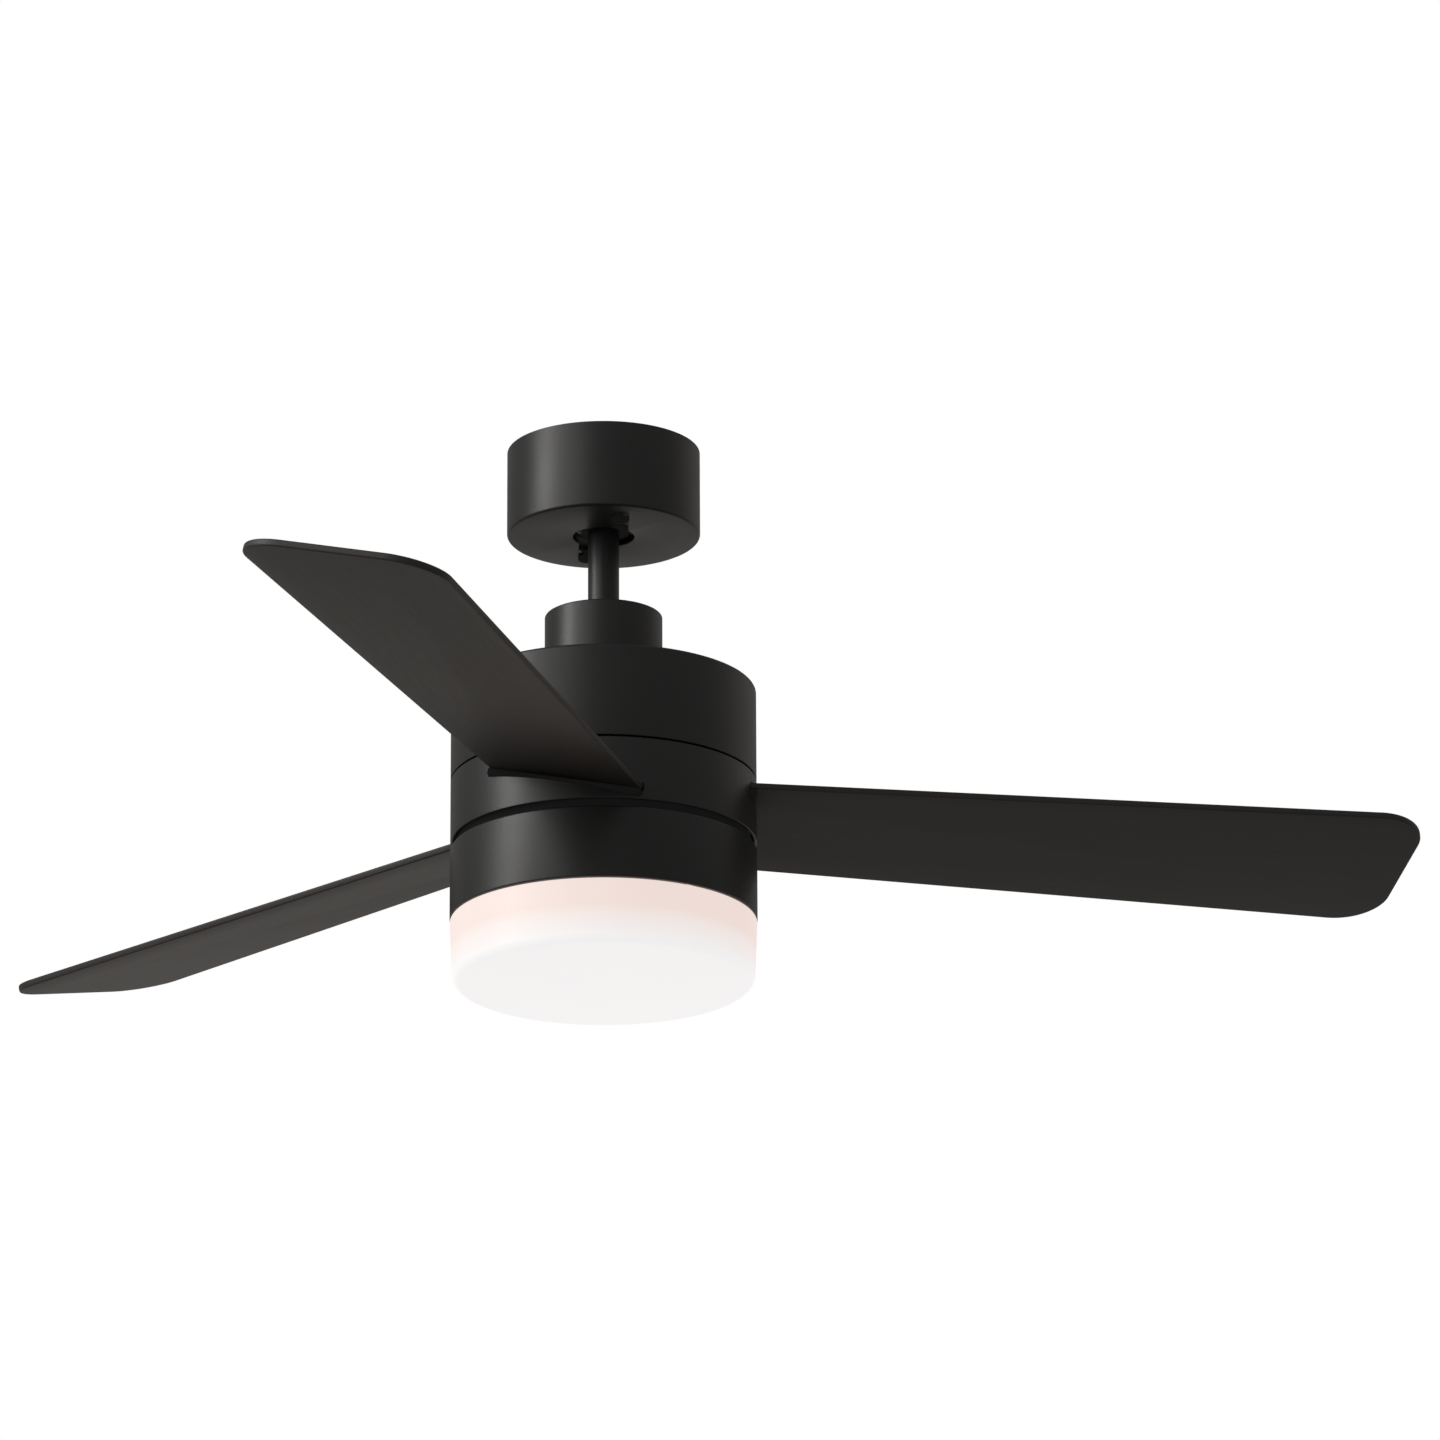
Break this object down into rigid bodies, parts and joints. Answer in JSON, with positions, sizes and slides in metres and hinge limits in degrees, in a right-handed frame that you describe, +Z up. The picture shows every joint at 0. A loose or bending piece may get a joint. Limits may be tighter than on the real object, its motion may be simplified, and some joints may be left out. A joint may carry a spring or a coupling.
{
  "type": "ceiling fan with light",
  "caption": "Ceiling fan on a short downrod: drum motor housing with pitched paddle blades and a round opal glass light beneath, under a deep round canopy.",
  "frame": {"origin": "on the fan's axis in the plane of the ceiling, at the top face of the hanger bracket", "axes": "+Z up, away from the floor, so the fan hangs towards -Z; +X is the side on which the hanger bracket's socket is open, and the blade rest angle is 12.7 degrees from it"},
  "size_m": [1.1395, 1.1637, 0.4424],
  "materials": {
    "black_paint": "matte black powder coat on pressed steel",
    "blade_black": "matte black laminate on fibreboard, warm brown cast",
    "opal_glass": "satin opal glass, lit from inside",
    "zinc_steel": "zinc plated",
    "dark_steel": "black oxide",
    "cast_aluminium": "die cast",
    "laminated_steel": "stacked laminations",
    "copper_wire": "enamelled copper wire",
    "ferrite": "sintered ferrite",
    "black_plastic": "moulded",
    "grey_plastic": "moulded",
    "lead_sleeve": "soft sleeve",
    "board_white": "white solder mask"
  },
  "bodies": {
    "ceiling_mount": {"hanger_bracket": "black_paint", "canopy": "black_paint", "canopy_screw_1": "dark_steel", "canopy_screw_2": "dark_steel", "remote_receiver": "black_plastic", "receiver_leads": "lead_sleeve", "supply_leads": "lead_sleeve", "wire_connector": "black_plastic"},
    "hung_fan": {"hanger_ball": "black_plastic", "ball_cross_pin": "zinc_steel", "ball_set_screw": "dark_steel", "downrod": "black_paint", "fan_leads": "lead_sleeve", "motor_coupling": "zinc_steel", "clevis_pin": "zinc_steel", "hairpin_clip": "zinc_steel", "coupling_set_screw_1": "dark_steel", "coupling_set_screw_2": "dark_steel", "upper_housing": "black_paint", "housing_screw_1": "zinc_steel", "housing_screw_2": "zinc_steel", "housing_screw_3": "zinc_steel", "motor_shaft": "zinc_steel", "stator_core": "laminated_steel", "stator_windings": "copper_wire", "light_mount_plate": "zinc_steel", "shaft_nut": "zinc_steel", "light_ring": "black_paint", "light_ring_screw_1": "zinc_steel", "light_ring_screw_2": "zinc_steel", "light_ring_screw_3": "zinc_steel", "led_driver": "grey_plastic", "led_board": "board_white", "led_board_screw_1": "zinc_steel", "led_board_screw_2": "zinc_steel"},
    "rotor": {"upper_bearing": "zinc_steel", "lower_bearing": "zinc_steel", "rotor_top_cap": "cast_aluminium", "rotor_bottom_cap": "cast_aluminium", "magnet_ring": "ferrite", "blade_band": "black_paint", "blade_carrier": "black_paint", "carrier_screw_1": "zinc_steel", "carrier_screw_2": "zinc_steel", "carrier_screw_3": "zinc_steel", "blade_1": "blade_black", "blade_2": "blade_black", "blade_3": "blade_black", "blade_1_screw_1": "zinc_steel", "blade_1_screw_2": "zinc_steel", "blade_1_screw_3": "zinc_steel", "blade_2_screw_1": "zinc_steel", "blade_2_screw_2": "zinc_steel", "blade_2_screw_3": "zinc_steel", "blade_3_screw_1": "zinc_steel", "blade_3_screw_2": "zinc_steel", "blade_3_screw_3": "zinc_steel"},
    "coupling_cover": {"coupling_cover": "black_paint"},
    "diffuser": {"diffuser": "opal_glass"}
  },
  "joints": [
    {"name": "hanger_tilt", "type": "hinge", "parent": "ceiling_mount", "child": "hung_fan", "pos_m": [0, 0, -0.05], "axis": [0, 1, 0], "range_deg": [-10, 10]},
    {"name": "fan_spin", "type": "hinge", "parent": "hung_fan", "child": "rotor", "pos_m": [0, 0, -0.24], "axis": [0, 0, 1], "continuous": true},
    {"name": "cover_slide", "type": "slide", "parent": "hung_fan", "child": "coupling_cover", "axis": [0, 0, 1], "range_m": [0, 0.025]},
    {"name": "diffuser_twist", "type": "hinge", "parent": "hung_fan", "child": "diffuser", "pos_m": [0, 0, -0.39], "axis": [0, 0, 1], "range_deg": [0, 20]}
  ]
}
